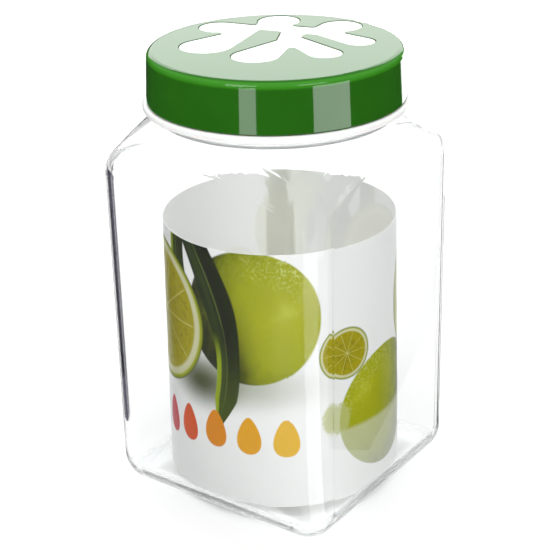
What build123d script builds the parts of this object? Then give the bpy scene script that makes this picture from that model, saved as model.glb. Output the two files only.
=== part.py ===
from build123d import *
import os
from math import cos, hypot, radians, sqrt, tan

# A clear square storage jar with a round threaded neck, a two-shell screw lid and a rolled printed sheet.
# Millimetres. +Z is up. The origin is the centre of the base, on the surface that the jar stands on.
# The flat sides face along X and Y. The lid is modelled screwed down.

# Jar body
JAR_WIDTH = 113.0            # across the flat sides, along X and along Y
SHOULDER_TOP = 173.5         # height at which the sloping shoulder meets the neck
SHOULDER_ANGLE = 33.5        # fall of the shoulder from level, degrees
CORNER_ROUND = 14.0          # radius of the four upright corners
BASE_EASE = 0.5              # how much smaller the round at the base is than the corners
SHOULDER_EASE = 1.0          # how much smaller the round at the shoulder is than the corners
WALL = 2.0                   # sides, shoulder and neck
FLOOR = 3.2                  # thickness of the base
DISH_RADIUS = 30.0           # shallow hollow under the base
DISH_DEPTH = 1.4
GATE_RADIUS = 2.5            # button left by moulding in the middle of the hollow
GATE_HEIGHT = 0.6
GATE_ROUND = 0.25

# Neck
NECK_SETBACK = 8.0           # from the jar's flat side to the neck's wall
NECK_HEIGHT = 22.1           # from the top of the shoulder to the sealing rim
RIM_ROUND = 0.7
RING_REACH = 2.0             # how far the ring at the foot of the neck stands out
RING_HEIGHT = 1.6
RING_ROUND = 0.4
RING_GAP = 0.8               # between that ring and the cap's flange

# Thread
THREAD_STARTS = 2
THREAD_LEAD = 12.0           # rise of the lid in one turn
THREAD_HEIGHT = 1.5          # how far a ridge stands out of its wall
THREAD_BASE = 2.4            # width of a ridge at its wall
THREAD_CREST = 1.1           # width of a ridge at its crest
THREAD_ROOT = 0.5            # how far a ridge is sunk into its wall
THREAD_FOOT = 7.5            # middle of a neck ridge above the top of the shoulder, at its lower end
THREAD_HEAD = 5.6            # middle of a neck ridge below the rim, at its upper end
CAP_THREAD_TURNS = 0.55
CREST_GAP = 0.5              # between a crest and the wall that it faces
FLANK_GAP = 0.45             # between a cap ridge and the neck ridge above it

# Liner
LINER_THICKNESS = 1.5
LINER_GAP = 0.7              # between the liner's edge and the cap's inner wall
BEAD_REACH = 1.2             # bead in the cap that keeps the liner in
BEAD_HEIGHT = 1.4
BEAD_GAP = 0.4               # between that bead and the liner

# Screw cap: the white inner shell
CAP_WALL = 1.6               # at the top, where it is thinnest
CAP_PLATE = 1.8
CAP_EDGE_ROUND = 1.5
FLANGE_REACH = 1.7           # how far the flange stands out past the cover
FLANGE_HEIGHT = 3.0
FLANGE_ROUND = 1.2
SNAP_RISE = 4.0              # middle of the snap bead above the flange
SNAP_REACH = 0.5
SNAP_WIDTH = 1.8

# Cap cover: the green outer shell
COVER_WALL = 1.6
COVER_DRAFT = 1.1            # how much wider the cover is at its lower edge
COVER_EDGE_ROUND = 2.8
COVER_LIP_ROUND = 0.4
COVER_SEAM = 0.25            # between the cover's lower edge and the flange
SHELL_GAP = 0.2              # between the cover's inside and the cap's outside
SNAP_GAP = 0.15              # between the snap bead and its groove

# Petals on the cap, seen through the cover's window
PETAL_RIM = 3.5              # from the longest petal's tip to the cover's edge
PETAL_DROP = 0.2             # how far the petals lie below the cover's top
PETAL_GAP = 0.35             # between the petals and the window
PETAL_EDGE_ROUND = 0.3
NOTCH_ROUND = 2.0            # hollow round between two petals, in the pattern's own units
# Each row is a root circle and a tip circle: x, y and radius, then x, y and radius, in the pattern's units.
# The first two rows are the hub that the seven petals grow from.
PETALS = [
    (-21.0, 23.0, 5.0, 4.5, 28.5, 5.5),
    (-6.0, 21.5, 5.2, -0.5, 9.5, 4.5),
    (1.5, 11.5, 4.6, 24.6, 0.4, 7.2),
    (5.0, 28.0, 4.5, 26.8, 23.2, 6.6),
    (4.0, 29.0, 5.5, 6.0, 40.5, 9.3),
    (-21.0, 25.0, 5.5, -22.6, 34.4, 9.3),
    (-25.5, 18.5, 4.8, -38.8, 12.0, 8.8),
    (-24.0, 15.5, 3.2, -24.4, -16.0, 11.2),
    (-0.5, 8.5, 3.6, 2.4, -17.6, 10.0),
]

# Rolled sheet
SHEET_HEIGHT = 119.0
SHEET_THICKNESS = 0.3
SHEET_SIDE_GAP = 2.6         # between the foot of the roll and the jar's flat sides
SHEET_TAPER = 1.7            # how much narrower the roll is at its top, in radius
SHEET_FOOT_GAP = 0.6         # between the roll's lower edge and the rounded floor

# Worked out from the sizes above
SHOULDER_SLOPE = tan(radians(SHOULDER_ANGLE))
BASE_ROUND = CORNER_ROUND - BASE_EASE
SHOULDER_ROUND = CORNER_ROUND - SHOULDER_EASE
NECK_RADIUS = JAR_WIDTH / 2 - NECK_SETBACK
NECK_TOP = SHOULDER_TOP + NECK_HEIGHT
THREAD_FLANK = (THREAD_BASE - THREAD_CREST) / 2 / THREAD_HEIGHT
THREAD_START = SHOULDER_TOP + THREAD_FOOT
NECK_THREAD_TURNS = (NECK_HEIGHT - THREAD_FOOT - THREAD_HEAD) / THREAD_LEAD
THREAD_OFFSET = (THREAD_BASE + THREAD_CREST) / 2 - THREAD_FLANK * CREST_GAP + FLANK_GAP
CAP_INNER_RADIUS = NECK_RADIUS + THREAD_HEIGHT + CREST_GAP
CAP_CEILING = NECK_TOP + LINER_THICKNESS
CAP_TOP = CAP_CEILING + CAP_PLATE
FLANGE_BOTTOM = SHOULDER_TOP + RING_HEIGHT + RING_GAP
FLANGE_TOP = FLANGE_BOTTOM + FLANGE_HEIGHT
COVER_BOTTOM = FLANGE_TOP + COVER_SEAM
LID_TOP = CAP_TOP + COVER_WALL
COVER_TOP_RADIUS = CAP_INNER_RADIUS + CAP_WALL + SHELL_GAP + COVER_WALL
FLANGE_RADIUS = COVER_TOP_RADIUS + COVER_DRAFT + FLANGE_REACH
SHEET_FOOT_RADIUS = JAR_WIDTH / 2 - WALL - SHEET_SIDE_GAP


def turned(points):
    """A solid of revolution about Z from (radius, height) points."""
    outline = Polyline(*[(radius, 0, height) for radius, height in points], close=True)
    return revolve(make_face(outline), Axis.Z)


def disc(radius, bottom, top):
    """An upright cylinder about Z."""
    return Pos(0, 0, bottom) * extrude(Circle(radius), top - bottom)


def bottle_form(inset, floor, neck_top):
    """The bottle's outside, or its cavity when it is inset by the wall."""
    width = JAR_WIDTH - 2 * inset
    neck = NECK_RADIUS - inset
    cone_top = SHOULDER_TOP + inset * SHOULDER_SLOPE - inset / cos(radians(SHOULDER_ANGLE))
    cone_foot = cone_top - (JAR_WIDTH - neck) * SHOULDER_SLOPE
    column = Pos(0, 0, floor) * extrude(RectangleRounded(width, width, CORNER_ROUND - inset), cone_top)
    cone = turned([(0, floor), (JAR_WIDTH, floor), (JAR_WIDTH, cone_foot), (neck, cone_top), (0, cone_top)])
    form = column & cone
    shoulder = form.faces().filter_by(GeomType.CONE)[0]
    neck_edge = shoulder.edges().sort_by(Axis.Z)[-1]
    side_edges = [edge for edge in shoulder.edges() if edge != neck_edge]
    form = fillet(side_edges, SHOULDER_ROUND - inset)
    form = fillet(form.edges().group_by(Axis.Z)[0], BASE_ROUND - inset)
    return form + disc(neck, cone_top, neck_top)


def thread_ridges(wall_radius, outward, turns, start_height):
    """The helical ridges on a round wall. outward is 1 on the neck and -1 inside the cap."""
    root_half = THREAD_BASE / 2 + THREAD_FLANK * THREAD_ROOT
    crest_half = THREAD_CREST / 2
    root = wall_radius - outward * THREAD_ROOT
    crest = wall_radius + outward * THREAD_HEIGHT
    corners = [(root, -root_half), (crest, -crest_half), (crest, crest_half), (root, root_half)]
    section = make_face(Polyline(*[(radius, 0, height) for radius, height in corners], close=True))
    path = Helix(THREAD_LEAD, THREAD_LEAD * turns, wall_radius)
    ridge = Pos(0, 0, start_height) * sweep(section, path, is_frenet=True)
    return [Rot(0, 0, 360 / THREAD_STARTS * start) * ridge for start in range(THREAD_STARTS)]


def petal_outline():
    """The petals and their hub as one flat shape, with the notches between petals rounded."""
    shape = Sketch()
    for root_x, root_y, root_radius, tip_x, tip_y, tip_radius in PETALS:
        root = Pos(root_x, root_y) * Circle(root_radius)
        tip = Pos(tip_x, tip_y) * Circle(tip_radius)
        shape += make_hull(root.edges() + tip.edges())
    shape = offset(offset(shape, NOTCH_ROUND), -NOTCH_ROUND)
    pattern_reach = max(hypot(row[3], row[4]) + row[5] for row in PETALS)
    return scale(shape, (COVER_TOP_RADIUS - PETAL_RIM) / pattern_reach)


def cover_radius(height):
    """Outer radius of the cover's drafted side at a height."""
    return COVER_TOP_RADIUS + COVER_DRAFT * (LID_TOP - height) / (LID_TOP - COVER_BOTTOM)


def cap_radius(height):
    """Outer radius of the screw cap's skirt at a height."""
    return cover_radius(height) - COVER_WALL - SHELL_GAP


def snap_ring(gap):
    """The bead on the cap that the cover snaps over, or with a gap the groove for it."""
    height = FLANGE_TOP + SNAP_RISE
    side = cap_radius(height)
    reach = side + SNAP_REACH + gap
    half = SNAP_WIDTH / 2 + gap
    tip_half = half / 3
    root = side - SNAP_REACH
    return turned([(root, height - half), (side, height - half), (reach, height - tip_half),
                   (reach, height + tip_half), (side, height + half), (root, height + half)])


def make_jar_body():
    """The clear bottle: one moulding with the ring and the thread of its neck."""
    form = bottle_form(0, 0, NECK_TOP)
    ring_radius = NECK_RADIUS + RING_REACH
    ring = disc(ring_radius, SHOULDER_TOP - RING_REACH * SHOULDER_SLOPE - WALL / 4, SHOULDER_TOP + RING_HEIGHT)
    ring = fillet(ring.edges().group_by(Axis.Z)[-1], RING_ROUND)
    body = form + ring - bottle_form(WALL, FLOOR, NECK_TOP + WALL)
    body = fillet(body.edges().group_by(Axis.Z)[-1], RIM_ROUND)
    sphere_radius = (DISH_RADIUS ** 2 + DISH_DEPTH ** 2) / (2 * DISH_DEPTH)
    body -= Pos(0, 0, DISH_DEPTH - sphere_radius) * Sphere(sphere_radius)
    gate = disc(GATE_RADIUS, DISH_DEPTH - GATE_HEIGHT, DISH_DEPTH + GATE_HEIGHT)
    body += fillet(gate.edges().group_by(Axis.Z)[0], GATE_ROUND)
    return body + thread_ridges(NECK_RADIUS, 1, NECK_THREAD_TURNS, THREAD_START)


def make_screw_cap():
    """The white inner shell: plate, threaded skirt, flange, snap bead, liner bead and petals."""
    shell = turned([(0, CAP_TOP), (cap_radius(CAP_TOP), CAP_TOP), (cap_radius(FLANGE_TOP), FLANGE_TOP),
                    (cap_radius(FLANGE_TOP), FLANGE_BOTTOM), (CAP_INNER_RADIUS, FLANGE_BOTTOM),
                    (CAP_INNER_RADIUS, CAP_CEILING), (0, CAP_CEILING)])
    shell = fillet(shell.edges().group_by(Axis.Z)[-1], CAP_EDGE_ROUND)
    flange = disc(FLANGE_RADIUS, FLANGE_BOTTOM, FLANGE_TOP)
    flange = fillet(flange.edges().filter_by(GeomType.CIRCLE), FLANGE_ROUND)
    shell += flange - disc((CAP_INNER_RADIUS + cap_radius(FLANGE_TOP)) / 2, FLANGE_BOTTOM, FLANGE_TOP)
    bead_top = NECK_TOP - BEAD_GAP
    bead_bottom = bead_top - BEAD_HEIGHT
    bead_root = CAP_INNER_RADIUS + CAP_WALL / 4
    bead = turned([(bead_root, bead_bottom), (CAP_INNER_RADIUS, bead_bottom),
                   (CAP_INNER_RADIUS - BEAD_REACH, (bead_bottom + bead_top) / 2),
                   (CAP_INNER_RADIUS, bead_top), (bead_root, bead_top)])
    petals = extrude(petal_outline(), COVER_WALL - PETAL_DROP)
    petals = Pos(0, 0, CAP_TOP) * fillet(petals.edges().group_by(Axis.Z)[-1], PETAL_EDGE_ROUND)
    ridges = thread_ridges(CAP_INNER_RADIUS, -1, CAP_THREAD_TURNS, THREAD_START - THREAD_OFFSET)
    return shell + snap_ring(0) + bead + petals + ridges


def make_cap_cover():
    """The green outer shell with its window for the petals."""
    shell = turned([(0, LID_TOP), (COVER_TOP_RADIUS, LID_TOP), (cover_radius(COVER_BOTTOM), COVER_BOTTOM),
                    (0, COVER_BOTTOM)])
    shell = fillet(shell.edges().group_by(Axis.Z)[-1], COVER_EDGE_ROUND)
    shell = fillet(shell.edges().group_by(Axis.Z)[0], COVER_LIP_ROUND)
    hollow = turned([(0, CAP_TOP), (cover_radius(CAP_TOP) - COVER_WALL, CAP_TOP),
                     (cover_radius(COVER_BOTTOM) - COVER_WALL, COVER_BOTTOM), (0, COVER_BOTTOM)])
    hollow = fillet(hollow.edges().group_by(Axis.Z)[-1], COVER_EDGE_ROUND - COVER_WALL)
    window = Pos(0, 0, CAP_TOP) * extrude(offset(petal_outline(), PETAL_GAP), COVER_WALL)
    return shell - hollow - snap_ring(SNAP_GAP) - window


def make_seal_liner():
    """The soft disc that the cap presses on the rim."""
    return disc(CAP_INNER_RADIUS - LINER_GAP, NECK_TOP, CAP_CEILING)


def make_paper_insert():
    """The rolled sheet as a closed tube that narrows a little upwards."""
    cavity_round = BASE_ROUND - WALL
    run_in = max(cavity_round - SHEET_SIDE_GAP, 0)
    foot = FLOOR + cavity_round - sqrt(cavity_round ** 2 - run_in ** 2) + SHEET_FOOT_GAP
    top_radius = SHEET_FOOT_RADIUS - SHEET_TAPER
    return turned([(SHEET_FOOT_RADIUS, foot), (top_radius, foot + SHEET_HEIGHT),
                   (top_radius - SHEET_THICKNESS, foot + SHEET_HEIGHT),
                   (SHEET_FOOT_RADIUS - SHEET_THICKNESS, foot)])


MAKERS = {
    "jar_body": make_jar_body,
    "screw_cap": make_screw_cap,
    "cap_cover": make_cap_cover,
    "seal_liner": make_seal_liner,
    "paper_insert": make_paper_insert,
}

os.makedirs("parts", exist_ok=True)
for node, make in MAKERS.items():
    piece = make()
    export_step(piece, f"parts/{node}.step")
    print(f"{node}: {piece.volume:.0f} mm3, {len(piece.solids())} solid")
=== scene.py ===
# %% [markdown]
# # A clear storage jar with a lime print
#
# The jar is a square bottle of clear plastic with a round threaded neck. Its screw lid has a white inner
# shell and a glossy green cover, and a printed sheet stands rolled up inside. The CAD model gives every size
# and place, and this script adds what it can't hold: the finishes, the print, the soft liner, and the studio.

# %% Load the fixed frame
from math import pi, radians
import bpy
from mathutils import Matrix, Vector


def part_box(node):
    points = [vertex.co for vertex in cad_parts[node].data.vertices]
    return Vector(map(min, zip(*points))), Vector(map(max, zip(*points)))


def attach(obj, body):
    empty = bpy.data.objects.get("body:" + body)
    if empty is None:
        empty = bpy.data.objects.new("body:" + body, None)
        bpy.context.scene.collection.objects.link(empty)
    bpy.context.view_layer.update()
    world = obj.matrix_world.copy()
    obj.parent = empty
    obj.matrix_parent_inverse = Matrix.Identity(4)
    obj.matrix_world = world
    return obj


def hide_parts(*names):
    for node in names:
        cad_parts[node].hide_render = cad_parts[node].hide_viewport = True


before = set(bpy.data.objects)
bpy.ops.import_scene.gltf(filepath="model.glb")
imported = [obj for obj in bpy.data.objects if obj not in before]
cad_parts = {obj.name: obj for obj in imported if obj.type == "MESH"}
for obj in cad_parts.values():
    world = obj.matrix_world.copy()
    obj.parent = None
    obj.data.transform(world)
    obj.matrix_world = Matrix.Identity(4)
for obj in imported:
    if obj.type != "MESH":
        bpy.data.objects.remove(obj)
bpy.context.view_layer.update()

print("CAD nodes:", sorted(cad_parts))

# %% [markdown]
# ## Camera
#
# The jar is seen from a little above, with one upright corner turned towards the viewer. The camera could be
# turned with a Track To constraint, but a studio camera also leans slightly, so its direction is written as
# three turns: the azimuth round the jar, the height above level, and the lean. The first two also place the
# studio lights. The Standard view keeps a white table white, and light that crosses many clear walls is
# followed for more bounces than usual, or the rounded edges go black.

# %% Camera
CAMERA_AZIMUTH = radians(36.0)
CAMERA_HEIGHT = radians(24.0)
CAMERA_LEAN = radians(-1.4)
CAMERA_DISTANCE = 0.645
CAMERA_LENS = 95.3
SENSOR_WIDTH = 36.0
CLEAR_BOUNCES = 24
GLOSSY_BOUNCES = 16


def seen_from(azimuth, height, lean=0.0):
    """The turn of a camera or a lamp that looks at the jar from this side. Azimuth 0 is the front."""
    around = Matrix.Rotation(azimuth, 3, "Z")
    down = Matrix.Rotation(pi / 2 - height, 3, "X")
    return around @ down @ Matrix.Rotation(lean, 3, "Z")


aim = Vector((0.0, -0.0043, 0.0973))
turn = seen_from(CAMERA_AZIMUTH, CAMERA_HEIGHT, CAMERA_LEAN)
bpy.ops.object.camera_add(location=aim + turn @ Vector((0, 0, CAMERA_DISTANCE)), rotation=turn.to_euler())
camera = bpy.context.object
camera.name = "studio_camera"
camera.data.lens = CAMERA_LENS
camera.data.sensor_width = SENSOR_WIDTH
bpy.context.scene.camera = camera
bpy.context.scene.view_settings.view_transform = "Standard"
bpy.context.scene.cycles.max_bounces = CLEAR_BOUNCES
bpy.context.scene.cycles.glossy_bounces = GLOSSY_BOUNCES
bpy.context.scene.cycles.transmission_bounces = CLEAR_BOUNCES
print("Camera stands at", [round(value, 3) for value in camera.location])

# %% [markdown]
# ## One helper for nodes and one for colours
#
# A node material can be clicked together or written down. Written down, each node is one line: its kind, its
# settings, and what goes into its sockets. Colours are given as web colours and turned to the linear values
# that the renderer works in.

# %% Helpers for materials
def linear(web_colour):
    """A web colour such as "3A8F2B" as linear red, green, blue and alpha."""
    parts = [int(web_colour[place:place + 2], 16) / 255 for place in (0, 2, 4)]
    return [part / 12.92 if part <= 0.04045 else ((part + 0.055) / 1.055) ** 2.4 for part in parts] + [1.0]


def node(tree, kind, settings=(), sockets=()):
    """Adds one node. A value for a socket is a number, a colour, or the output of another node."""
    added = tree.nodes.new(kind)
    for name, value in dict(settings).items():
        setattr(added, name, value)
    for name, value in dict(sockets).items():
        if isinstance(value, bpy.types.NodeSocket):
            tree.links.new(value, added.inputs[name])
        else:
            added.inputs[name].default_value = value
    return added


def new_material(name):
    """A node material and its tree, still empty. Its last node is a Material Output."""
    material = bpy.data.materials.new(name)
    material.use_nodes = True
    material.node_tree.nodes.clear()
    return material, material.node_tree


# %% [markdown]
# ## Floor
#
# The jar stands on a plain white table. A plane is enough. Glossy things don't mirror it, as if the table in
# front of the jar were kept out of the light, and so the green lid stays deep green. The table's paint is
# never quite even, so a noise with patches about 20 cm wide varies the white by a hundredth.

# %% Floor
TABLE_WIDTH = 8.0
bpy.ops.object.select_all(action="DESELECT")
bpy.ops.mesh.primitive_plane_add(size=TABLE_WIDTH, location=(0, 0, 0))
floor = bpy.context.object
floor.name = "studio_table"
floor.visible_glossy = False
table_white, table_tree = new_material("matt_white_table")
table_place = node(table_tree, "ShaderNodeTexCoord")
table_grain = node(table_tree, "ShaderNodeTexNoise", {}, {"Vector": table_place.outputs["Object"],
                                                          "Scale": 5.0, "Detail": 3.0})
table_colour = node(table_tree, "ShaderNodeMapRange", {}, {"Value": table_grain.outputs["Fac"],
                                                           "To Min": 0.89, "To Max": 0.91})
table_shader = node(table_tree, "ShaderNodeBsdfDiffuse", {}, {"Color": table_colour.outputs["Result"]})
node(table_tree, "ShaderNodeOutputMaterial", {}, {"Surface": table_shader.outputs["BSDF"]})
floor.data.materials.append(table_white)
print("Table is", floor.dimensions.x, "m wide")

# %% [markdown]
# ## Studio light
#
# Clear and glossy plastic show the lamps more than themselves, so the lamps are placed for what each surface
# mirrors. A wide panel behind the jar whitens the lid's flat top. One overhead lights the petals, the
# shoulder and the table, and no mirror shows it. A soft one on each side of the camera lights the printed
# sheet. Three narrow ones stand low, where the lid's upright side mirrors them as clean bars, and those light
# nothing.

# %% Studio light
def soft_panel(name, azimuth, height, distance, size, strength, target_height=0.1, mirrored=True,
               lights=True):
    """A rectangular lamp that faces the jar. The azimuth counts from the camera's, and it and the height are
    in degrees. Mirrored says whether glossy things show it, and lights whether it lights matt ones."""
    facing = seen_from(CAMERA_AZIMUTH + radians(azimuth), radians(height))
    place = Vector((0, 0, target_height)) + facing @ Vector((0, 0, distance))
    bpy.ops.object.light_add(type="AREA", location=place, rotation=facing.to_euler())
    lamp = bpy.context.object
    lamp.name = name
    lamp.data.shape = "RECTANGLE"
    lamp.data.size, lamp.data.size_y = size
    lamp.data.energy = strength * size[0] * size[1] * pi
    lamp.visible_camera = False
    lamp.visible_transmission = False
    lamp.visible_glossy = mirrored
    lamp.visible_diffuse = lights
    print(name, "at", [round(value, 2) for value in lamp.location])


soft_panel("panel_behind", 180, 24, 1.3, (1.5, 0.8), 1.9, target_height=0.2)
soft_panel("panel_overhead", 0, 89, 1.2, (1.0, 1.0), 4.0, mirrored=False)
soft_panel("panel_left_of_camera", -32, 30, 1.2, (0.5, 0.4), 3.2, target_height=0.12)
soft_panel("panel_right_of_camera", 32, 30, 1.2, (0.5, 0.4), 2.6, target_height=0.12)
for where, azimuth, width, strength in (("left", -23, 0.070, 4.0), ("right", 44, 0.17, 4.6),
                                        ("rear_right", 151, 0.20, 3.8)):
    soft_panel("bar_" + where, azimuth, 0, 0.30, (width, 0.17), strength, target_height=0.115, lights=False)

# %% [markdown]
# Clear plastic on a white table has no outline of its own. Studios lay dark cards beside it, where its
# rounded corners and edges bend the view to, and the cards draw those as dark lines. A lit card in front does
# the opposite: the jar's near corner mirrors it as a pale upright band, which shows where the plastic is.

# %% Cards on the table
def card_finish(name, kind, sockets):
    """A plain finish from one shader of this kind."""
    finish, tree = new_material(name)
    shader = node(tree, kind, {}, sockets)
    node(tree, "ShaderNodeOutputMaterial", {}, {"Surface": shader.outputs[0]})
    return finish


card_black = card_finish("black_card", "ShaderNodeBsdfDiffuse", {"Color": linear("060606")})
card_grey = card_finish("grey_card", "ShaderNodeBsdfDiffuse", {"Color": linear("504C5A")})
card_bright = card_finish("lit_card", "ShaderNodeEmission", {"Color": (1, 1, 1, 1), "Strength": 16.0})


def table_card(name, finish, near_end, azimuth, length, near_width, far_width):
    """A flat card on the table, from the middle of its near end towards this azimuth, which counts from the
    camera's in degrees. A dark card only shows through clear plastic, and a bright one only in mirrors."""
    turned = Matrix.Rotation(CAMERA_AZIMUTH + radians(azimuth), 3, "Z")
    place = Vector(near_end) + turned @ Vector((0, -length / 2, 0))
    bpy.ops.object.select_all(action="DESELECT")
    bpy.ops.mesh.primitive_plane_add(size=1.0, location=place, rotation=turned.to_euler())
    card = bpy.context.object
    card.name = name
    card.scale = (far_width, length, 1.0)
    for edge_point in card.data.vertices:
        if edge_point.co.y > 0:
            edge_point.co.x *= near_width / far_width
    card.visible_camera = card.visible_diffuse = card.visible_shadow = False
    card.visible_glossy = finish == card_bright
    card.visible_transmission = finish != card_bright
    card.data.materials.append(finish)
    print(name, "lies at", [round(value, 3) for value in place])


table_card("card_left", card_grey, (-0.105, -0.058, 0.0004), -130, 0.70, 0.07, 0.80)
table_card("card_left_stripe", card_black, (-0.150, -0.035, 0.0008), -144, 0.50, 0.035, 0.11)
table_card("card_right", card_black, (0.050, 0.060, 0.0008), 143, 0.45, 0.008, 0.05)
table_card("card_right_side", card_black, (0.112, 0.010, 0.0004), 111, 0.42, 0.07, 0.30)
table_card("card_front", card_bright, (0.068, -0.052, 0.0008), 15, 0.32, 0.02, 0.30)

# %% [markdown]
# The air round the jar is white for the camera and lights softly from all sides. What plastic shows of it is
# set apart. A mirror finds it dark at eye level, and paler above and steeply below. Through clear plastic it
# darkens towards the left, which draws the jar's outline there. A ray that has come through plastic can count
# as a mirrored one too, so the clear case is tested after the glossy one.

# %% Surroundings
TO_THE_RIGHT = (0.81, 0.59, 0.0)
world = bpy.data.worlds.new("studio_air")
bpy.context.scene.world = world
world.use_nodes = True
air = world.node_tree
air.nodes.clear()
ray_kind = node(air, "ShaderNodeLightPath")
direction = node(air, "ShaderNodeTexCoord")
side = node(air, "ShaderNodeVectorMath", {"operation": "DOT_PRODUCT"},
            {0: direction.outputs["Generated"], 1: TO_THE_RIGHT})
level = node(air, "ShaderNodeSeparateXYZ", {}, {0: direction.outputs["Generated"]})
table_glow = node(air, "ShaderNodeMapRange", {}, {"Value": level.outputs["Z"], "From Min": -0.50,
                                                  "From Max": -0.58, "To Min": 0.02, "To Max": 1.0})
ceiling_glow = node(air, "ShaderNodeMapRange", {}, {"Value": level.outputs["Z"], "From Min": 0.0,
                                                    "From Max": 0.4, "To Min": 0.02, "To Max": 0.35})
mirrored = node(air, "ShaderNodeMath", {"operation": "MAXIMUM"}, {0: table_glow.outputs["Result"],
                                                                  1: ceiling_glow.outputs["Result"]})
seen_through = node(air, "ShaderNodeMapRange", {}, {"Value": side.outputs["Value"], "From Min": -1.0,
                                                    "From Max": -0.5, "To Min": 0.1, "To Max": 0.85})
for_gloss = node(air, "ShaderNodeMix", {}, {0: ray_kind.outputs["Is Glossy Ray"], 2: 0.5,
                                            3: mirrored.outputs["Value"]})
for_clear = node(air, "ShaderNodeMix", {}, {0: ray_kind.outputs["Is Transmission Ray"],
                                            2: for_gloss.outputs[0], 3: seen_through.outputs["Result"]})
for_camera = node(air, "ShaderNodeMix", {}, {0: ray_kind.outputs["Is Camera Ray"],
                                             2: for_clear.outputs[0], 3: 1.0})
air_light = node(air, "ShaderNodeBackground", {}, {"Color": (1, 1, 1, 1), "Strength": for_camera.outputs[0]})
node(air, "ShaderNodeOutputWorld", {}, {"Surface": air_light.outputs["Background"]})
print("Air has", len(air.nodes), "nodes")

# %% [markdown]
# ## Clear PET, injection blow moulded
#
# The bottle's wall is 2 mm of clear polyester. A glass shader with that plastic's IOR bends light at the
# rounded corners and keeps the flat sides clear. Real light goes through it to the sheet inside, which a
# refracting surface alone would shade, so shadow rays pass straight through. Blowing leaves slow waves of a
# few hundredths of a millimetre, and handling leaves fine scuffs: both come from noise in object space. The
# foot, which stands on shelves, is scuffed most, and so its rounded edge turns a little milky. The neck isn't
# stretched by the blowing, and so it stays a little milky too. Heights are in metres above the table, and the
# neck's count down from the lid's lower edge.

# %% Clear PET
FOOT_MILKY, FOOT_CLEAR = 0.001, 0.007
lid_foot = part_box("screw_cap")[0].z
NECK_CLEAR, NECK_MILKY = lid_foot - 0.0054, lid_foot - 0.0014
clear_pet, pet = new_material("clear_blown_pet")
pet_place = node(pet, "ShaderNodeTexCoord")
pet_wave = node(pet, "ShaderNodeTexNoise", {}, {"Vector": pet_place.outputs["Object"], "Scale": 35.0,
                                                "Detail": 1.0})
pet_bump = node(pet, "ShaderNodeBump", {}, {"Height": pet_wave.outputs["Fac"], "Strength": 0.35,
                                            "Distance": 0.00006})
pet_scuff = node(pet, "ShaderNodeTexNoise", {}, {"Vector": pet_place.outputs["Object"], "Scale": 220.0,
                                                 "Detail": 4.0})
pet_rough = node(pet, "ShaderNodeMapRange", {}, {"Value": pet_scuff.outputs["Fac"], "From Min": 0.45,
                                                 "From Max": 0.8, "To Min": 0.0, "To Max": 0.05})
pet_height = node(pet, "ShaderNodeSeparateXYZ", {}, {0: pet_place.outputs["Object"]})
pet_foot = node(pet, "ShaderNodeMapRange", {"interpolation_type": "SMOOTHSTEP"},
                {"Value": pet_height.outputs["Z"], "From Min": FOOT_MILKY, "From Max": FOOT_CLEAR,
                 "To Min": 0.35, "To Max": 1.0})
pet_neck = node(pet, "ShaderNodeMapRange", {"interpolation_type": "SMOOTHSTEP"},
                {"Value": pet_height.outputs["Z"], "From Min": NECK_CLEAR, "From Max": NECK_MILKY,
                 "To Min": 1.0, "To Max": 0.45})
pet_clear = node(pet, "ShaderNodeMath", {"operation": "MULTIPLY"}, {0: pet_foot.outputs["Result"],
                                                                   1: pet_neck.outputs["Result"]})
pet_body = node(pet, "ShaderNodeBsdfPrincipled", {}, {"Base Color": linear("FDFEFE"), "IOR": 1.46,
                                                      "Transmission Weight": pet_clear.outputs["Value"],
                                                      "Specular Tint": (0.12, 0.12, 0.12, 1.0),
                                                      "Roughness": pet_rough.outputs["Result"],
                                                      "Normal": pet_bump.outputs["Normal"]})
pet_ray = node(pet, "ShaderNodeLightPath")
pet_through = node(pet, "ShaderNodeBsdfTransparent", {}, {"Color": linear("FDFEFE")})
pet_mix = node(pet, "ShaderNodeMixShader", {}, {0: pet_ray.outputs["Is Shadow Ray"],
                                                1: pet_body.outputs["BSDF"], 2: pet_through.outputs["BSDF"]})
node(pet, "ShaderNodeOutputMaterial", {}, {"Surface": pet_mix.outputs["Shader"]})
print("Clear PET has", len(pet.nodes), "nodes")

# %% [markdown]
# ## Green polypropylene, injection moulded in a polished tool
#
# The cover mirrors the lamps with sharp edges, so its roughness is low. A polished mould still leaves a
# faint orange-peel wave, and the colour pigment is never quite even. The light that gathers in the rounded
# upper edge is painted into the colour as a band of lighter green, a painted highlight. Its depths count
# down from the cover's top.

# %% Green polypropylene
# Depths below the cover's top of the band that carries the painted highlight.
PAINTED_RIM_STARTS, PAINTED_RIM_FULL, PAINTED_RIM_FADES, PAINTED_RIM_ENDS = 0.0036, 0.0024, 0.0009, 0.0003
cover_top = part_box("cap_cover")[1].z
green_pp, green = new_material("polished_green_polypropylene")
green_place = node(green, "ShaderNodeTexCoord")
green_cloud = node(green, "ShaderNodeTexNoise", {}, {"Vector": green_place.outputs["Object"], "Scale": 60.0,
                                                     "Detail": 2.0})
green_colour = node(green, "ShaderNodeMix", {"data_type": "RGBA"}, {0: green_cloud.outputs["Fac"],
                                                                    6: linear("246012"),
                                                                    7: linear("286816")})
green_height = node(green, "ShaderNodeSeparateXYZ", {}, {0: green_place.outputs["Object"]})
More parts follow.
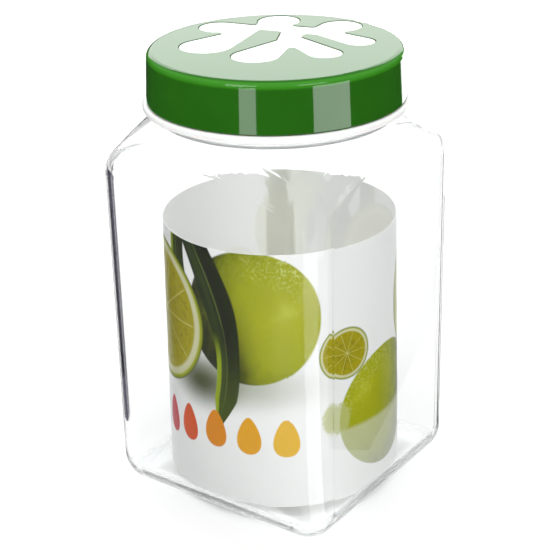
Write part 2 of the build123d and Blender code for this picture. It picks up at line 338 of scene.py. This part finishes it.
# Painted highlight: these two ramps mark a band just under the cover's top, where the green is mixed lighter.
painted_rim_below = node(green, "ShaderNodeMapRange", {"interpolation_type": "SMOOTHSTEP"},
                   {"Value": green_height.outputs["Z"], "From Min": cover_top - PAINTED_RIM_STARTS,
                    "From Max": cover_top - PAINTED_RIM_FULL})
painted_rim_above = node(green, "ShaderNodeMapRange", {"interpolation_type": "SMOOTHSTEP"},
                   {"Value": green_height.outputs["Z"], "From Min": cover_top - PAINTED_RIM_ENDS,
                    "From Max": cover_top - PAINTED_RIM_FADES})
painted_rim_light = node(green, "ShaderNodeMath", {"operation": "MULTIPLY"}, {0: painted_rim_below.outputs["Result"],
                                                                      1: painted_rim_above.outputs["Result"]})
green_with_painted_rim = node(green, "ShaderNodeMix", {"data_type": "RGBA"}, {0: painted_rim_light.outputs["Value"],
                                                                  6: green_colour.outputs[2],
                                                                  7: linear("38881E")})
green_peel = node(green, "ShaderNodeTexNoise", {}, {"Vector": green_place.outputs["Object"], "Scale": 500.0,
                                                    "Detail": 2.0})
green_bump = node(green, "ShaderNodeBump", {}, {"Height": green_peel.outputs["Fac"], "Strength": 0.2,
                                                "Distance": 0.00001})
green_rough = node(green, "ShaderNodeMapRange", {}, {"Value": green_cloud.outputs["Fac"], "To Min": 0.03,
                                                     "To Max": 0.07})
green_body = node(green, "ShaderNodeBsdfPrincipled", {}, {"Base Color": green_with_painted_rim.outputs[2], "IOR": 1.5,
                                                          "Roughness": green_rough.outputs["Result"],
                                                          "Normal": green_bump.outputs["Normal"]})
node(green, "ShaderNodeOutputMaterial", {}, {"Surface": green_body.outputs["BSDF"]})
print("Green polypropylene has", len(green.nodes), "nodes")

# %% [markdown]
# ## White polypropylene, injection moulded
#
# The inner shell is the same plastic in white. Light sinks a little way into it, which softens the shading
# of its rounded flange.

# %% White polypropylene
white_pp, white = new_material("moulded_white_polypropylene")
white_place = node(white, "ShaderNodeTexCoord")
white_grain = node(white, "ShaderNodeTexNoise", {}, {"Vector": white_place.outputs["Object"], "Scale": 900.0,
                                                     "Detail": 3.0})
white_bump = node(white, "ShaderNodeBump", {}, {"Height": white_grain.outputs["Fac"], "Strength": 0.3,
                                                "Distance": 0.00002})
white_tone = node(white, "ShaderNodeMix", {"data_type": "RGBA"}, {0: white_grain.outputs["Fac"],
                                                                  6: linear("F8F8F7"),
                                                                  7: linear("FCFCFB")})
white_body = node(white, "ShaderNodeBsdfPrincipled", {}, {"Base Color": white_tone.outputs[2], "IOR": 1.5,
                                                          "Roughness": 0.28, "Subsurface Weight": 0.2,
                                                          "Subsurface Scale": 0.002,
                                                          "Normal": white_bump.outputs["Normal"]})
node(white, "ShaderNodeOutputMaterial", {}, {"Surface": white_body.outputs["BSDF"]})
print("White polypropylene has", len(white.nodes), "nodes")

# %% [markdown]
# ## The three moulded pieces
#
# The bottle and the lid's two shells are hard mouldings, and the CAD model already has their exact shape.
# They could be modelled again, but that would only lose accuracy, so they stay and get their finish.

# %% Dress the moulded pieces
for part, finish in {"jar_body": clear_pet, "cap_cover": green_pp, "screw_cap": white_pp}.items():
    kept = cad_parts[part]
    for slot in kept.material_slots:
        slot.material = finish
    print(part, "has", len(kept.data.polygons), "faces and", finish.name)

# %% [markdown]
# ## The print
#
# The sheet is offset printed with limes and leaves, once for each half turn. An image would be the usual way,
# but a print made from nodes stays sharp at any size. The sheet's own UV map gives the place on the flat
# sheet, in millimetres after one multiplication, and each fruit is a distance from its centre. The plain
# lettering that such a sheet carries is left out, and plain drops of juice stand in its place.

# %% Sizes of the sheet
paper_low, paper_high = [Vector(corner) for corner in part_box("paper_insert")]
SHEET_TALL = paper_high.z - paper_low.z
FOOT_RADIUS = paper_high.x
TOP_NARROWING = 0.0017
MEAN_RADIUS = FOOT_RADIUS - TOP_NARROWING / 2
SHEET_LONG = 0.332
REPEAT = SHEET_LONG * 1000 / 2
print("Sheet is", round(SHEET_LONG * 1000), "mm long and", round(SHEET_TALL * 1000), "mm tall")

# %% [markdown]
# The print is worked out point by point. Each helper adds a few nodes and gives back their result, so that a
# fruit or a leaf reads like a short sum: a distance, an edge, a ramp of colours, and one ink over another.

# %% Helpers for the print
def calculate(tree, operation, first, second=0.0, third=0.0):
    """The result of one sum on numbers or outputs."""
    return node(tree, "ShaderNodeMath", {"operation": operation}, {0: first, 1: second, 2: third}).outputs[0]


def sheet_millimetres(tree):
    """The place on the flat sheet: across from the middle of its front, and up from its foot."""
    flat = node(tree, "ShaderNodeSeparateXYZ", {}, {0: node(tree, "ShaderNodeUVMap").outputs["UV"]})
    across = calculate(tree, "MULTIPLY_ADD", flat.outputs["X"], SHEET_LONG * 1000, -SHEET_LONG * 500)
    return across, calculate(tree, "MULTIPLY", flat.outputs["Y"], SHEET_TALL * 1000)


def distance_from(tree, across, up, centre, stretch=1.0):
    """Millimetres from a centre, on a sheet whose print repeats. Stretch flattens the round across."""
    near = calculate(tree, "WRAP", calculate(tree, "SUBTRACT", across, centre[0]), REPEAT / 2, -REPEAT / 2)
    near = calculate(tree, "DIVIDE", near, stretch)
    above = calculate(tree, "SUBTRACT", up, centre[1])
    square = calculate(tree, "ADD", calculate(tree, "POWER", calculate(tree, "ABSOLUTE", near), 2.0),
                       calculate(tree, "POWER", calculate(tree, "ABSOLUTE", above), 2.0))
    return calculate(tree, "SQRT", square), near, above


def inside(tree, distance, edge, softness=0.5):
    """1 where the distance is less than the edge and 0 beyond it."""
    return node(tree, "ShaderNodeMapRange", {"interpolation_type": "SMOOTHSTEP"},
                {"Value": distance, "From Min": edge - softness, "From Max": edge + softness,
                 "To Min": 1.0, "To Max": 0.0}).outputs["Result"]


def shades(tree, value, *steps):
    """A colour ramp from (place, web colour) steps."""
    ramp = node(tree, "ShaderNodeValToRGB", {}, {"Fac": value})
    while len(ramp.color_ramp.elements) < len(steps):
        ramp.color_ramp.elements.new(0.5)
    for stop, (place, web_colour) in zip(ramp.color_ramp.elements, steps):
        stop.position = place
        stop.color = linear(web_colour)
    return ramp.outputs["Color"]


def flat_point(tree, across, up):
    """A place on the flat sheet as a vector, for a pattern to follow."""
    return node(tree, "ShaderNodeCombineXYZ", {}, {0: across, 1: up}).outputs[0]


def print_over(tree, under, over, cover):
    """One ink over another."""
    return node(tree, "ShaderNodeMix", {"data_type": "RGBA"}, {0: cover, 6: under, 7: over}).outputs[2]


# %% [markdown]
# A whole lime is a shaded ball: light where the lamp stood, dark on the far side, mottled and pitted all
# over, with small shines near its rim. A cut lime is rings of rind, pith and flesh, with membranes between
# its segments and flecks of pulp.

# %% Whole limes and cut limes
def whole_lime(tree, under, across, up, centre, radius, glow):
    """Prints a lime over what is under it. Glow is the place of its brightest side."""
    away, _, _ = distance_from(tree, across, up, centre)
    from_glow, near, above = distance_from(tree, across, up, glow, 0.9)
    spot = flat_point(tree, near, above)
    pits = node(tree, "ShaderNodeTexVoronoi", {}, {"Vector": spot, "Scale": 1.1}).outputs["Distance"]
    mottle = node(tree, "ShaderNodeTexNoise", {}, {"Vector": spot, "Scale": 0.12, "Detail": 5.0,
                                                   "Roughness": 0.7}).outputs["Fac"]
    depth = calculate(tree, "DIVIDE", from_glow, radius * 1.6)
    depth = calculate(tree, "MULTIPLY_ADD", mottle, 0.50, calculate(tree, "ADD", depth, -0.25))
    skin = shades(tree, depth, (0.0, "BCC030"), (0.15, "ACB014"), (0.52, "A0A60E"), (0.72, "848C08"),
                  (0.88, "3A4400"), (1.0, "1A1E00"))
    pitted = calculate(tree, "MULTIPLY", inside(tree, pits, 0.2, 0.12), 0.35)
    skin = print_over(tree, skin, linear("4E5400"), pitted)
    rim = calculate(tree, "DIVIDE", away, radius)
    shine = node(tree, "ShaderNodeMapRange", {}, {"Value": calculate(tree, "MULTIPLY_ADD", above, 0.012, rim),
                                                  "From Min": 0.62, "From Max": 1.25, "To Min": 0.04,
                                                  "To Max": 0.7}).outputs["Result"]
    lit_side = node(tree, "ShaderNodeMapRange", {}, {"Value": depth, "From Min": 0.75,
                                                     "From Max": 0.4}).outputs["Result"]
    speck = calculate(tree, "MULTIPLY", calculate(tree, "MULTIPLY", shine, lit_side),
                      calculate(tree, "SUBTRACT", 1.0, inside(tree, pits, 0.66, 0.10)))
    skin = print_over(tree, skin, linear("D6DA80"), speck)
    return print_over(tree, under, skin, inside(tree, away, radius))


def cut_lime(tree, under, across, up, centre, radius):
    """Prints a slice of lime, with ten segments."""
    away, near, above = distance_from(tree, across, up, centre)
    share = calculate(tree, "DIVIDE", away, radius)
    rings = shades(tree, share, (0.0, "C8C070"), (0.06, "9A9010"), (0.82, "A89E14"), (0.86, "D6D4AC"),
                   (0.92, "D2D1A4"), (0.945, "A8B01C"), (0.98, "7E8810"), (1.0, "3C4600"))
    pulp = node(tree, "ShaderNodeTexNoise", {}, {"Vector": flat_point(tree, near, above), "Scale": 0.35,
                                                 "Detail": 3.0}).outputs["Fac"]
    flecks = calculate(tree, "MULTIPLY", inside(tree, pulp, 0.42, 0.05), inside(tree, share, 0.78, 0.03))
    rings = print_over(tree, rings, linear("7E7600"), calculate(tree, "MULTIPLY", flecks, 0.5))
    turn_about = calculate(tree, "ARCTAN2", above, near)
    waves = calculate(tree, "SINE", calculate(tree, "MULTIPLY", turn_about, 5.0))
    comb = calculate(tree, "ABSOLUTE", waves)
    width = calculate(tree, "MULTIPLY", comb, away)
    membrane = calculate(tree, "MULTIPLY", inside(tree, width, radius * 0.05, radius * 0.04),
                         inside(tree, share, 0.82, 0.03))
    rings = print_over(tree, rings, linear("CFC870"), calculate(tree, "MULTIPLY", membrane, 0.75))
    return print_over(tree, under, rings, inside(tree, away, radius))


# %% [markdown]
# A leaf is a band either side of a curved midrib, widest near the top and drawn out to a point. Its edge
# curls over low down and shows the paler underside. Where it lies on a fruit it throws a shade, and the fruit
# throws a softer one on the table.

# %% Leaves and shadows
def off_midrib(tree, across, up, centre, bend):
    """Millimetres to the right of a leaf's curved midrib, and above its centre."""
    _, near, above = distance_from(tree, across, up, centre)
    drop = calculate(tree, "MULTIPLY", calculate(tree, "MULTIPLY", above, above), bend)
    return calculate(tree, "ADD", near, drop), above


def long_leaf(tree, under, across, up, centre, bend):
    """Prints a leaf whose midrib is a curve, from its tip at the bottom to the sheet's top edge."""
    off, above = off_midrib(tree, across, up, centre, bend)
    above_tip = calculate(tree, "ADD", above, 35.0)
    stalk = calculate(tree, "MINIMUM", calculate(tree, "MULTIPLY", above_tip, 0.3), 5.4)
    widening = node(tree, "ShaderNodeMapRange", {"interpolation_type": "SMOOTHSTEP"},
                    {"Value": above, "From Min": 1.0, "From Max": 34.0, "To Max": 2.6}).outputs["Result"]
    half = calculate(tree, "MAXIMUM", calculate(tree, "ADD", stalk, widening), 0.05)
    share = calculate(tree, "DIVIDE", calculate(tree, "ABSOLUTE", off), half)
    tone = calculate(tree, "MULTIPLY_ADD", calculate(tree, "DIVIDE", off, half), 0.5, 0.5)
    along = flat_point(tree, calculate(tree, "MULTIPLY", tone, 9.0), calculate(tree, "MULTIPLY", above, 0.04))
    veins = node(tree, "ShaderNodeTexNoise", {"noise_dimensions": "2D"},
                 {"Vector": along, "Scale": 1.0, "Detail": 2.0}).outputs["Fac"]
    blade = shades(tree, tone, (0.0, "1E2A04"), (0.30, "2C3C0A"), (0.42, "1E2A06"), (0.46, "62742A"),
                   (0.50, "101800"), (1.0, "1A2402"))
    veined = calculate(tree, "MULTIPLY", inside(tree, veins, 0.45, 0.1), 0.5)
    blade = print_over(tree, blade, linear("0E1400"), veined)
    low = node(tree, "ShaderNodeMapRange", {}, {"Value": above, "From Min": 8.0, "From Max": -25.0,
                                                "To Max": 0.85}).outputs["Result"]
    blade = print_over(tree, blade, linear("46560E"), low)
    curl = calculate(tree, "MULTIPLY", inside(tree, tone, 0.20, 0.05), inside(tree, above, 8.0, 8.0))
    blade = print_over(tree, blade, linear("90A414"), curl)
    up_from_tip = calculate(tree, "GREATER_THAN", above_tip, 0.0)
    cover = calculate(tree, "MULTIPLY", inside(tree, share, 1.0, 0.06), up_from_tip)
    return print_over(tree, under, blade, cover)


def beside_leaf(tree, under, across, up, centre, bend, fruit, radius):
    """Prints the shade that the leaf throws on a fruit to its right, darkest low down."""
    off, above = off_midrib(tree, across, up, centre, bend)
    away, _, _ = distance_from(tree, across, up, fruit)
    low = node(tree, "ShaderNodeMapRange", {}, {"Value": above, "From Min": 30.0, "From Max": -5.0,
                                                "To Min": 0.3, "To Max": 0.95}).outputs["Result"]
    shade = calculate(tree, "MULTIPLY", inside(tree, off, 9.0, 8.0), inside(tree, away, radius))
    return print_over(tree, under, linear("1A1E00"), calculate(tree, "MULTIPLY", shade, low))


def soft_shadow(tree, under, across, up, centre, stretch, reach, colour, depth):
    """Prints the grey-green shade that fruit throws on the white table."""
    away, _, _ = distance_from(tree, across, up, centre, stretch)
    shade = calculate(tree, "MULTIPLY", inside(tree, away, reach / 2, reach / 2), depth)
    return print_over(tree, under, linear(colour), shade)


def juice_drop(tree, under, across, up, centre, colour):
    """Prints one plain drop, taller than it is wide and narrower at its top."""
    _, near, above = distance_from(tree, across, up, centre)
    half = calculate(tree, "MULTIPLY_ADD", above, -0.20, 5.2)
    wide = calculate(tree, "DIVIDE", near, half)
    tall = calculate(tree, "DIVIDE", above, 9.0)
    share = calculate(tree, "ADD", calculate(tree, "MULTIPLY", wide, wide),
                      calculate(tree, "MULTIPLY", tall, tall))
    return print_over(tree, under, linear(colour), inside(tree, share, 1.0, 0.08))


# %% [markdown]
# The print is laid out in the order of its inks, from the back to the front: shades on the table, whole
# limes, leaves and the big slice, then the drops and the small slice. Places are millimetres across from the
# middle of the sheet's front and up from its foot, and radii are in millimetres too.

# %% Lay the print out
LIME, LIME_RADIUS, LIME_GLOW = (-13.3, 89.7), 30.4, (2.0, 92.0)
LOW_LIME, LOW_LIME_RADIUS, LOW_LIME_GLOW = (52.0, 38.0), 28.5, (37.0, 49.0)
STEM_END, PAINTED_SHEEN_LINE = (23.0, 40.0), 34.0
SLICE, SLICE_RADIUS = (-69.0, 80.0), 33.0
SMALL_SLICE, SMALL_SLICE_RADIUS = (27.7, 70.4), 12.0
FRONT_LEAF, FRONT_BEND = (-23.6, 67.0), 0.0062
BACK_LEAF, BACK_BEND = (-53.0, 114.0), -0.0100
DROPS = [((-62.0, 30.0), "C8102A"), ((-47.0, 32.5), "D8500F"), ((-31.0, 35.0), "E08A10"),
         ((-15.0, 34.5), "E6A51E"), ((1.0, 34.0), "E9B93A")]


def lower_lime(tree, under, across, up):
    """Prints the lime with a ragged stem end. Below the sheen line its lower part is painted paler, a painted
    reflection.
    """
    ink = whole_lime(tree, under, across, up, LOW_LIME, LOW_LIME_RADIUS, LOW_LIME_GLOW)
    ragged, _, _ = distance_from(tree, across, up, STEM_END, 0.8)
    torn = node(tree, "ShaderNodeTexNoise", {}, {"Vector": flat_point(tree, across, up),
                                                 "Scale": 0.5}).outputs["Fac"]
    stem_end = inside(tree, calculate(tree, "MULTIPLY_ADD", torn, 6.0, ragged), 10.5, 1.5)
    ink = print_over(tree, ink, linear("BFC47A"), calculate(tree, "MULTIPLY", stem_end, 0.75))
    # Painted reflection: below the line, the lime is mixed towards a pale colour.
    away, _, _ = distance_from(tree, across, up, LOW_LIME)
    painted_sheen_mask = calculate(tree, "MULTIPLY", inside(tree, up, PAINTED_SHEEN_LINE, 1.5),
                        inside(tree, away, LOW_LIME_RADIUS))
    return print_over(tree, ink, linear("DDE0C4"), calculate(tree, "MULTIPLY", painted_sheen_mask, 0.55))


def lime_print(tree, paper):
    """The whole print on paper of this colour."""
    across, up = sheet_millimetres(tree)
    ink = soft_shadow(tree, paper, across, up, (-25.0, 58.0), 3.4, 17.0, "8C9470", 0.7)
    ink = soft_shadow(tree, ink, across, up, (-38.0, 56.0), 1.5, 18.0, "3A4210", 0.95)
    ink = lower_lime(tree, ink, across, up)
    ink = whole_lime(tree, ink, across, up, LIME, LIME_RADIUS, LIME_GLOW)
    ink = beside_leaf(tree, ink, across, up, FRONT_LEAF, FRONT_BEND, LIME, LIME_RADIUS)
    ink = long_leaf(tree, ink, across, up, BACK_LEAF, BACK_BEND)
    ink = cut_lime(tree, ink, across, up, SLICE, SLICE_RADIUS)
    ink = long_leaf(tree, ink, across, up, FRONT_LEAF, FRONT_BEND)
    for place, colour in DROPS:
        ink = juice_drop(tree, ink, across, up, place, colour)
    return cut_lime(tree, ink, across, up, SMALL_SLICE, SMALL_SLICE_RADIUS)


print("The print repeats every", round(REPEAT), "mm and has", len(DROPS), "drops")

# %% [markdown]
# ## Coated sheet, offset printed and varnished
#
# The printed face is smooth, and its varnish shines only a little. The back is plain, and the print shows
# through it faintly. Paper also lets light through, which brightens the inside of the roll, so each face is
# part matt and part translucent, and within the paper's thickness all light is passed on. The real fibres are
# too fine to show, so their grain is drawn about 0.7 mm coarse.

# %% Printed face and plain back
def coated_sheet(name, white, show_through, roughness, glow):
    """A material for one face of the sheet. White is the share of its paper's and inks' brightness that it
    keeps: below 1 it is painted shade, which darkens the whole face. Show-through is how much of the print
    that face shows, and glow is how much of its light comes through from the other face."""
    material, tree = new_material(name)
    place = node(tree, "ShaderNodeTexCoord")
    fibre = node(tree, "ShaderNodeTexNoise", {}, {"Vector": place.outputs["Object"], "Scale": 1500.0,
                                                  "Detail": 3.0})
    bump = node(tree, "ShaderNodeBump", {}, {"Height": fibre.outputs["Fac"], "Strength": 0.2,
                                             "Distance": 0.00002})
    paper = print_over(tree, linear("FBFBFA"), linear("F7F7F6"), fibre.outputs["Fac"])
    ink = lime_print(tree, paper)
    # Painted shade: the colour is mixed towards black by one minus white.
    colour = print_over(tree, linear("000000"), print_over(tree, paper, ink, show_through), white)
    body = node(tree, "ShaderNodeBsdfPrincipled", {}, {"Base Color": colour, "Roughness": roughness,
                                                       "IOR": 1.5, "Specular IOR Level": 0.06,
                                                       "Normal": bump.outputs["Normal"]})
    lit_through = node(tree, "ShaderNodeBsdfTranslucent", {}, {"Color": print_over(tree, paper, ink, 0.14)})
    from_within = node(tree, "ShaderNodeNewGeometry").outputs["Backfacing"]
    share = node(tree, "ShaderNodeMapRange", {}, {"Value": from_within, "To Min": glow, "To Max": 1.0})
    both = node(tree, "ShaderNodeMixShader", {}, {0: share.outputs["Result"], 1: body.outputs["BSDF"],
                                                  2: lit_through.outputs["BSDF"]})
    node(tree, "ShaderNodeOutputMaterial", {}, {"Surface": both.outputs["Shader"]})
    print(name, "has", len(tree.nodes), "nodes")
    return material


# The printed face keeps 0.74 of its brightness: painted shade for the roll's outside, which the lamps light
# more than its inside.
printed_face = coated_sheet("varnished_lime_print", white=0.74, show_through=1.0, roughness=0.28, glow=0.0)
plain_back = coated_sheet("uncoated_sheet_back", white=1.0, show_through=0.04, roughness=0.6, glow=0.5)

# %% [markdown]
# ## The rolled sheet
#
# A real sheet is printed flat, rolled up and let go inside the jar, where it springs open. It could be a
# tube, but rolling a flat grid keeps the flat sheet's UV map, which the print needs. The grid stands on edge
# and is turned a hair, so that the bend makes a spiral whose ends lap over each other without touching.

# %% Flat sheet
ROLL_LEAN = 0.0022
bpy.ops.object.select_all(action="DESELECT")
bpy.ops.mesh.primitive_grid_add(x_subdivisions=180, y_subdivisions=24, size=1.0, location=(0, 0, 0),
                                rotation=(pi / 2, 0, ROLL_LEAN))
sheet = bpy.context.object
sheet.name = "rolled_print"
sheet.scale = (SHEET_LONG, SHEET_TALL, 1.0)
bpy.ops.object.transform_apply(location=True, rotation=True, scale=True)
print("Flat sheet:", [round(value, 4) for value in sheet.dimensions])

# %% [markdown]
# The bend leaves the grid's middle where it was and brings its ends together behind it. In edit mode the roll
# then moves forward by its radius, which puts its axis on the jar's.

# %% Roll it up
bend = sheet.modifiers.new("roll", "SIMPLE_DEFORM")
bend.deform_method = "BEND"
bend.deform_axis = "Z"
bend.angle = SHEET_LONG / MEAN_RADIUS
bpy.ops.object.modifier_apply(modifier=bend.name)
bpy.ops.object.mode_set(mode="EDIT")
bpy.ops.mesh.select_all(action="SELECT")
bpy.ops.transform.translate(value=(0, -MEAN_RADIUS, 0))
bpy.ops.object.mode_set(mode="OBJECT")
print("Rolled:", [round(value, 4) for value in sheet.dimensions])

# %% [markdown]
# The roll stands on the rounded floor and closes a little upwards. A faint unevenness keeps it from looking
# turned, and the thickness comes last, with the plain back as the second material.

# %% Taper, waves and thickness
PAPER_THICK = 0.0003
WAVE_HEIGHT = 0.0005
WAVE_LENGTH = 0.05
taper = sheet.modifiers.new("closes_upwards", "SIMPLE_DEFORM")
taper.deform_method = "TAPER"
taper.deform_axis = "Z"
taper.factor = -TOP_NARROWING / MEAN_RADIUS
bpy.ops.object.modifier_apply(modifier=taper.name)
wave = bpy.data.textures.new("paper_waves", "CLOUDS")
wave.noise_scale = WAVE_LENGTH
ripple = sheet.modifiers.new("springs_unevenly", "DISPLACE")
ripple.texture = wave
ripple.strength = WAVE_HEIGHT
bpy.ops.object.modifier_apply(modifier=ripple.name)
thick = sheet.modifiers.new("thickness", "SOLIDIFY")
thick.thickness = PAPER_THICK
thick.offset = -1.0
thick.material_offset = 1
thick.material_offset_rim = 1
sheet.data.materials.append(printed_face)
sheet.data.materials.append(plain_back)
bpy.ops.object.modifier_apply(modifier=thick.name)
bpy.ops.object.shade_smooth_by_angle(angle=radians(40))
print("Sheet has", len(sheet.data.polygons), "faces")

# %% [markdown]
# The sheet was rolled about the world's origin, and now it takes its place: its printed front turns towards
# the camera, and it rises to the jar's floor. It rides with the jar, because it stays behind when the lid
# comes off, and it stands for the plain tube of the CAD model.

# %% Stand it in the jar
sheet.rotation_euler = (0, 0, CAMERA_AZIMUTH)
sheet.location = (0, 0, (paper_low.z + paper_high.z) / 2)
bpy.ops.object.transform_apply(location=True, rotation=True, scale=True)
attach(sheet, "jar")
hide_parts("paper_insert")
print("Sheet stands from", round(paper_low.z, 4), "to", round(paper_high.z, 4))

# %% [markdown]
# ## The foam liner
#
# A disc of closed-cell foam lies in the cap and seals on the jar's rim. Foam is matt, and its skin shows the
# cells as fine dimples, here drawn 0.7 mm wide. The middle of each dimple is painted a little darker, as
# painted shade in the hollow.

# %% Foam
foam, foam_tree = new_material("closed_cell_liner_foam")
foam_place = node(foam_tree, "ShaderNodeTexCoord")
foam_cells = node(foam_tree, "ShaderNodeTexVoronoi", {}, {"Vector": foam_place.outputs["Object"],
                                                          "Scale": 1400.0})
foam_bump = node(foam_tree, "ShaderNodeBump", {}, {"Height": foam_cells.outputs["Distance"], "Strength": 0.6,
                                                   "Distance": 0.0001})
# Painted shade: the colour darkens towards each cell's middle, where the bump sinks.
foam_colour_and_dimple_shade = shades(foam_tree, foam_cells.outputs["Distance"], (0.0, "DEDEDB"), (1.0, "F3F3F1"))
foam_body = node(foam_tree, "ShaderNodeBsdfPrincipled", {}, {"Base Color": foam_colour_and_dimple_shade, "Roughness": 0.75,
                                                             "IOR": 1.45,
                                                             "Normal": foam_bump.outputs["Normal"]})
node(foam_tree, "ShaderNodeOutputMaterial", {}, {"Surface": foam_body.outputs["BSDF"]})
print("Foam has", len(foam_tree.nodes), "nodes")

# %% [markdown]
# The liner is punched from sheet foam, so it starts as a flat disc of the size that the CAD model gives.

# %% Foam liner
liner_low, liner_high = [Vector(corner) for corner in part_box("seal_liner")]
LINER_RADIUS = liner_high.x
LINER_THICK = liner_high.z - liner_low.z
bpy.ops.object.select_all(action="DESELECT")
bpy.ops.mesh.primitive_cylinder_add(vertices=128, radius=LINER_RADIUS, depth=LINER_THICK,
                                    location=(0, 0, (liner_low.z + liner_high.z) / 2))
liner = bpy.context.object
liner.name = "foam_liner"
bpy.ops.object.transform_apply(location=True, rotation=True, scale=True)
print("Liner is", round(LINER_RADIUS * 2000, 1), "mm across")

# %% [markdown]
# The jar's rim leaves a shallow ring in the soft underside. Insets of the lower face mark out the ring, and
# moving its middle up and back down again sinks only the ring. A small bevel softens the punched edges. The
# liner rides with the seal, which rises with the lid but doesn't turn.

# %% Press the rim's ring into it
def select_faces(piece, wanted):
    """Selects the faces whose centre and normal are wanted, and leaves the piece in edit mode."""
    bpy.ops.object.mode_set(mode="EDIT")
    bpy.ops.mesh.select_mode(type="FACE")
    bpy.ops.mesh.select_all(action="DESELECT")
    bpy.ops.object.mode_set(mode="OBJECT")
    for face in piece.data.polygons:
        face.select = wanted(face)
    bpy.ops.object.mode_set(mode="EDIT")


LINER_MARGIN, RING_WIDTH, RING_SLOPE, RING_DEPTH = 0.0012, 0.0022, 0.0004, 0.0002
EDGE_SOFTNESS = 0.0004
select_faces(liner, lambda face: face.normal.z < -0.9)
for flat_stretch, rise in ((LINER_MARGIN, RING_DEPTH), (RING_WIDTH, -RING_DEPTH)):
    bpy.ops.mesh.inset(thickness=flat_stretch)
    bpy.ops.mesh.inset(thickness=RING_SLOPE)
    bpy.ops.transform.translate(value=(0, 0, rise))
bpy.ops.object.mode_set(mode="OBJECT")
soft_edge = liner.modifiers.new("soft_edge", "BEVEL")
soft_edge.width = EDGE_SOFTNESS
soft_edge.segments = 3
soft_edge.limit_method = "ANGLE"
soft_edge.angle_limit = radians(50)
bpy.ops.object.modifier_apply(modifier=soft_edge.name)
bpy.ops.object.shade_smooth_by_angle(angle=radians(40))
liner.data.materials.append(foam)
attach(liner, "seal")
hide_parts("seal_liner")
print("Liner has", len(liner.data.polygons), "faces")
